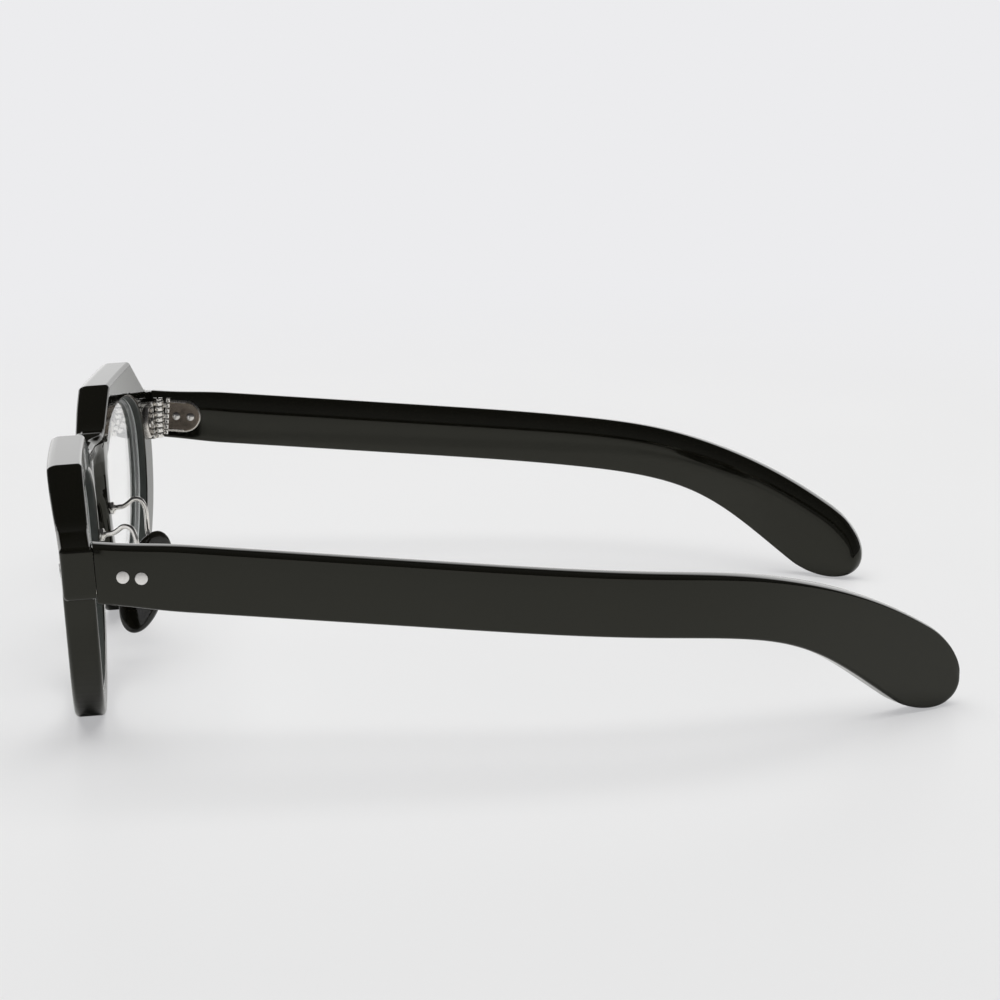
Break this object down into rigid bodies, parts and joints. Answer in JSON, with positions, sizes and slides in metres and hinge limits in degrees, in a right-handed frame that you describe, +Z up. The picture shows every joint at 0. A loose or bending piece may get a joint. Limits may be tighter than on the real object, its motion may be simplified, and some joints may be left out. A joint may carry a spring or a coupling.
{
  "type": "eyeglasses",
  "caption": "Eyeglasses with a thick crown panto plastic front, clear lenses, folding temples on riveted barrel hinges, and oval nose pads on bent wire arms.",
  "frame": {"origin": "middle of the open pair's box, on the table that the rim bottoms and the temple tips touch", "axes": "+X to the wearer's left across the front, +Y from the front back to the temple tips, +Z up"},
  "size_m": [0.1436, 0.149, 0.044],
  "materials": {
    "acetate": "polished black",
    "lens": "clear",
    "hinge_metal": "polished silver",
    "rivet_metal": "satin silver",
    "pad_plastic": "polished black"
  },
  "bodies": {
    "front": {"front_frame": "acetate", "left_lens": "lens", "right_lens": "lens", "left_front_hinge_leaf": "hinge_metal", "right_front_hinge_leaf": "hinge_metal", "left_hinge_screw": "hinge_metal", "right_hinge_screw": "hinge_metal", "left_front_rivet_1": "rivet_metal", "left_front_rivet_2": "rivet_metal", "right_front_rivet_1": "rivet_metal", "right_front_rivet_2": "rivet_metal", "left_pad_arm": "hinge_metal", "right_pad_arm": "hinge_metal", "left_pad_screw": "hinge_metal", "right_pad_screw": "hinge_metal"},
    "left_temple": {"left_temple": "acetate", "left_temple_hinge_leaf": "hinge_metal", "left_temple_rivet_1": "rivet_metal", "left_temple_rivet_2": "rivet_metal"},
    "right_temple": {"right_temple": "acetate", "right_temple_hinge_leaf": "hinge_metal", "right_temple_rivet_1": "rivet_metal", "right_temple_rivet_2": "rivet_metal"},
    "left_pad": {"left_nose_pad": "pad_plastic"},
    "right_pad": {"right_nose_pad": "pad_plastic"}
  },
  "joints": [
    {"name": "left_temple_fold", "type": "hinge", "parent": "front", "child": "left_temple", "pos_m": [0.06535, -0.06298, 0.03013], "axis": [0, 0, 1], "range_deg": [0, 80]},
    {"name": "right_temple_fold", "type": "hinge", "parent": "front", "child": "right_temple", "pos_m": [-0.06535, -0.06298, 0.03013], "axis": [0, 0, -1], "range_deg": [0, 60]},
    {"name": "left_pad_rock", "type": "hinge", "parent": "front", "child": "left_pad", "pos_m": [0.01138, -0.06214, 0.01377], "axis": [0.3963, 0.9022, -0.1702], "range_deg": [-8, 8]},
    {"name": "right_pad_rock", "type": "hinge", "parent": "front", "child": "right_pad", "pos_m": [-0.01138, -0.06214, 0.01377], "axis": [0.3963, -0.9022, 0.1702], "range_deg": [-8, 8]}
  ]
}
